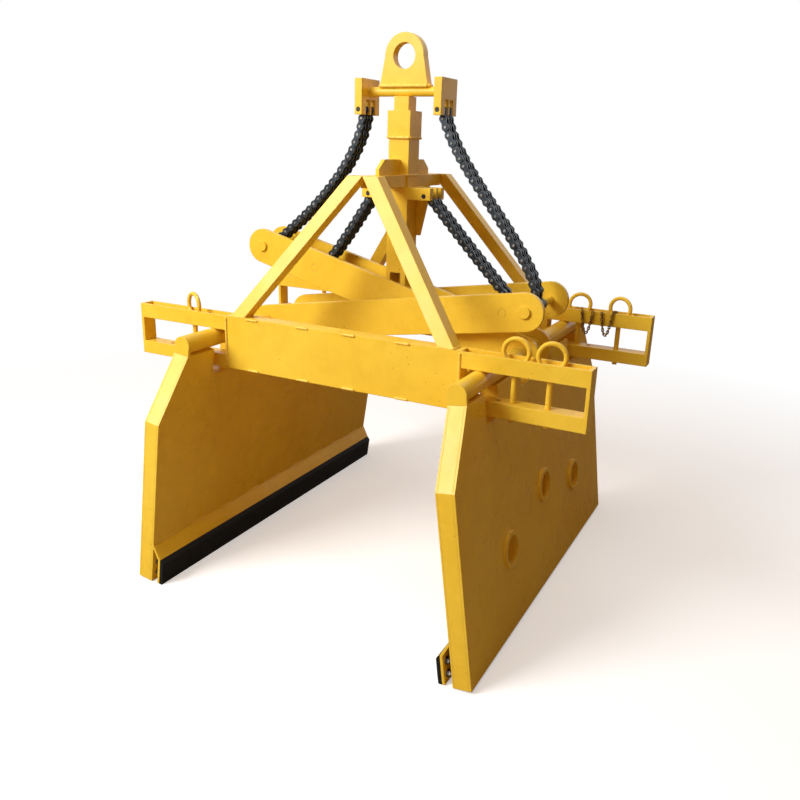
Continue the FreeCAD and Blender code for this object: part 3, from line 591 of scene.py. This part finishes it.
HALF_WIDTH = 658 * MM
PAD_TOP = 135 * MM
NUT_INSET = 22 * MM
NUT_HEIGHTS = (28 * MM, 66 * MM)
NUT = 10 * MM
NUT_THICK = 8 * MM
WASHER_THICK = 3 * MM
JAW_DROP = 772 * MM
FACE = 27 * MM
SKIN = 6 * MM
HOLE_RADIUS = 43 * MM
HOLES = ((-320 * MM, 521 * MM), (0, 441 * MM), (320 * MM, 521 * MM))
for side, word in ((1, "right"), (-1, "left")):
    body = f"jaw_{word}"
    lip, lip_end = (jaw_point(side, -FACE, way * HALF_WIDTH * 0.985, JAW_DROP - PAD_TOP) for way in (-1, 1))
    stitches = [(lip.lerp(lip_end, k / 9 + 0.02), lip.lerp(lip_end, k / 9 + 0.07)) for k in range(9)]
    welds(f"weld_pad_{word}", body, stitches, 3.4 * MM)

    built = bmesh.new()
    across = (jaw_point(side, 1, 0, 0) - jaw_point(side, 0, 0, 0)).normalized()
    for y in (-HALF_WIDTH + NUT_INSET, HALF_WIDTH - NUT_INSET):
        for height in NUT_HEIGHTS:
            start = jaw_point(side, -FACE - 22 * MM, y, JAW_DROP - height)
            disc(built, start, across, 6 * MM, 21 * MM, 14)
            disc(built, start, across, 12 * MM, WASHER_THICK, 20)
            prism(built, start + across * WASHER_THICK, across, NUT, NUT_THICK)
            prism(built, start + across * 13 * MM, across, NUT, NUT_THICK, turn=0.4)
    piece(f"pad_nuts_{word}", built, PIN, body, 30)

    built = bmesh.new()
    for y, drop in HOLES:
        inside = jaw_point(side, -FACE + SKIN, y, drop)
        outside = jaw_point(side, FACE, y, drop)
        liner(built, inside, outside - inside, HOLE_RADIUS - 0.3 * MM, 2 * MM)
    piece(f"hole_liners_{word}", built, YELLOW, body, 40)


# Tether chains of the stop pins: small welded links that hang from each ring's neck
TETHER_WIRE = 2.0 * MM
TETHER_LINK = 9 * MM


def hang(start, stop, sag):
    """Points along a curve that sags between two points."""
    middle = (start + stop) / 2 - Vector((0, 0, sag))
    shares = [k / 12 for k in range(13)]
    return [start * (1 - t) ** 2 + middle * 2 * t * (1 - t) + stop * t ** 2 for t in shares]


def tether(name, body, path, material):
    """Oval links along a path, each turned a quarter from the last."""
    built = bmesh.new()
    spots = [path[0]]
    for one, two in zip(path, path[1:]):
        count = max(1, round((two - one).length / (0.2 * MM)))
        for k in range(1, count + 1):
            here = one.lerp(two, k / count)
            if (here - spots[-1]).length >= TETHER_LINK:
                spots.append(here)
    for k, (one, two) in enumerate(zip(spots, spots[1:])):
        along = (two - one).normalized()
        side, up = basis(along)
        flat = side if k % 2 else up
        centre = (one + two) / 2
        oval = [centre + along * math.cos(a) * TETHER_LINK * 0.78 + flat * math.sin(a) * TETHER_LINK * 0.42
                for a in (2 * math.pi * j / 12 for j in range(12))]
        sweep(built, oval, [TETHER_WIRE] * 12, 6, closed=True)
    return piece(name, built, material, body, 60)


for node in sorted(nodes):
    if node.startswith("stop_pin_"):
        low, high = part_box(node)
        ring = middle_of((low, high))
        neck = Vector((ring.x, ring.y, high.z - 70 * MM))
        if node in ("stop_pin_rear_inner", "stop_pin_rear_outer"):
            # Over the rail's wall, then a long loop outside it, between the two rings
            way = 1 if node == "stop_pin_rear_inner" else -1
            rim = high.z - 49 * MM
            over = Vector((ring.x + way * 12 * MM, ring.y - 16 * MM, rim))
            outside = Vector((ring.x + way * 16 * MM, ring.y - 32 * MM, rim))
            last = outside + Vector((way * 38 * MM, 0, -4 * MM))
            path = [neck, over, *hang(outside, last, 165 * MM)]
            tether(f"tether_{node}", node, path, TETHER)
        else:
            out = -1 if "front" in node else 1
            inward = -1 if ring.x > 0 else 1
            end = Vector((ring.x + inward * 30 * MM, ring.y + out * 14 * MM, high.z - 66 * MM))
            tether(f"tether_{node}", node, hang(neck, end, 26 * MM), YELLOW)


# Floor, lights and camera
def make_stage():
    built = bmesh.new()
    reach = 30.0
    for x, y in ((-reach, -reach), (reach, -reach), (reach, reach), (-reach, reach)):
        built.verts.new((x, y, -1 * MM))
    built.faces.new(list(built.verts))
    mesh = bpy.data.meshes.new("floor")
    built.to_mesh(mesh)
    built.free()
    mesh.materials.append(floor_paint())
    floor = bpy.data.objects.new("floor", mesh)
    collection.objects.link(floor)


def area_light(name, spot, target, size, watts):
    lamp = bpy.data.lights.new(name, "AREA")
    lamp.size = size
    lamp.energy = watts
    thing = bpy.data.objects.new(name, lamp)
    thing.location = spot
    thing.rotation_euler = (Vector(target) - Vector(spot)).to_track_quat("-Z", "Y").to_euler()
    collection.objects.link(thing)


def make_world():
    """Pale grey light all round, pure white where the camera or a reflection sees it."""
    world = bpy.data.worlds.new("studio")
    bpy.context.scene.world = world
    world.use_nodes = True
    tree = world.node_tree
    back = tree.nodes["Background"]
    path = tree.nodes.new("ShaderNodeLightPath")
    either = tree.nodes.new("ShaderNodeMath")
    either.operation = "MAXIMUM"
    tree.links.new(path.outputs["Is Camera Ray"], either.inputs[0])
    tree.links.new(path.outputs["Is Glossy Ray"], either.inputs[1])
    mix = tree.nodes.new("ShaderNodeMix")
    mix.data_type = "FLOAT"
    tree.links.new(either.outputs[0], mix.inputs[0])
    mix.inputs[2].default_value = WORLD_LEVEL
    mix.inputs[3].default_value = 1.0
    tree.links.new(mix.outputs[0], back.inputs["Strength"])
    tint = tree.nodes.new("ShaderNodeMix")
    tint.data_type = "RGBA"
    tree.links.new(either.outputs[0], tint.inputs[0])
    tint.inputs[6].default_value = (*WORLD_TINT, 1)
    tint.inputs[7].default_value = (1, 1, 1, 1)
    tree.links.new(tint.outputs[2], back.inputs["Color"])


WORLD_LEVEL = 0.25
WORLD_TINT = (1.0, 0.62, 0.34)
CAMERA_AZIMUTH = 27.221
CAMERA_ELEVATION = 17.915
CAMERA_ROLL = 1.65
CAMERA_PLACE = (1.182863, -2.277337, 1.356896)
CAMERA_LENS = 35.3266


def make_camera():
    camera = bpy.data.cameras.new("camera")
    camera.lens = CAMERA_LENS
    camera.sensor_width = 36
    thing = bpy.data.objects.new("camera", camera)
    turn = (Matrix.Rotation(math.radians(CAMERA_AZIMUTH), 4, "Z")
            @ Matrix.Rotation(math.radians(90 - CAMERA_ELEVATION), 4, "X")
            @ Matrix.Rotation(math.radians(CAMERA_ROLL), 4, "Z"))
    thing.matrix_world = Matrix.Translation(Vector(CAMERA_PLACE)) @ turn
    collection.objects.link(thing)
    bpy.context.scene.camera = thing


make_stage()
make_world()
area_light("key", (-2.2, -3.8, 3.2), (0, 0, 0.7), 2.2, 246)
area_light("top", (-0.4, -0.6, 4.6), (0, 0, 0.8), 2.6, 60)
area_light("back", (1.4, 3.8, 2.8), (0, 0, 0.8), 2.0, 8)
make_camera()
bpy.context.scene.view_settings.view_transform = "Standard"
